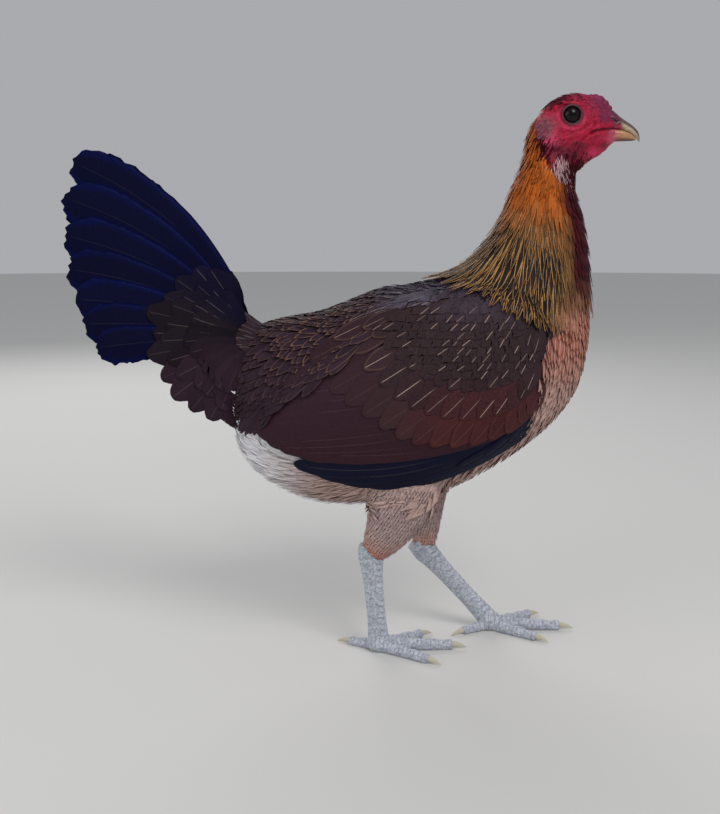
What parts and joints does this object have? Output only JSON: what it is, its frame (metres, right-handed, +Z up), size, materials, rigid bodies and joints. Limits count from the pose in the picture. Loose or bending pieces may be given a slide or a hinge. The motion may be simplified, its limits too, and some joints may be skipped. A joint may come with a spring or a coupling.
{
  "type": "american game chicken hen",
  "caption": "Life-size american game hen walking, head held high, wings folded and tail fanned.",
  "frame": {"origin": "on the floor under the middle of the bird's box", "axes": "+X towards the beak, +Y towards the bird's left side, +Z up"},
  "size_m": [0.4014, 0.1456, 0.404],
  "materials": {
    "breast": "matte small contour feathers, salmon brown to buff",
    "hackle": "silky pointed hackle feathers, golden tan with black middles",
    "face": "soft bare red skin with fine wrinkles",
    "horn": "horn of the bill and claws, smooth and faintly glossy",
    "eye": "wet and clear over dark brown",
    "wing": "close firm wing feathers, brown",
    "tail": "stiff blue-black feathers with a sheen",
    "shank": "dry horny scales, pale slate"
  },
  "bodies": {
    "root": {"torso": "breast", "thigh_left": "breast", "thigh_right": "breast", "neck": "hackle", "head": "face", "comb": "face", "wattle_left": "face", "wattle_right": "face", "earlobe_left": "face", "earlobe_right": "face", "beak_upper": "horn", "beak_lower": "horn", "eye_left": "eye", "eye_right": "eye", "wing_left": "wing", "wing_right": "wing", "tail": "tail", "shank_left": "shank", "shank_right": "shank", "foot_left": "shank", "foot_right": "shank", "claw_left_inner": "horn", "claw_left_middle": "horn", "claw_left_outer": "horn", "claw_left_back": "horn", "claw_right_inner": "horn", "claw_right_middle": "horn", "claw_right_outer": "horn", "claw_right_back": "horn"}
  },
  "joints": []
}
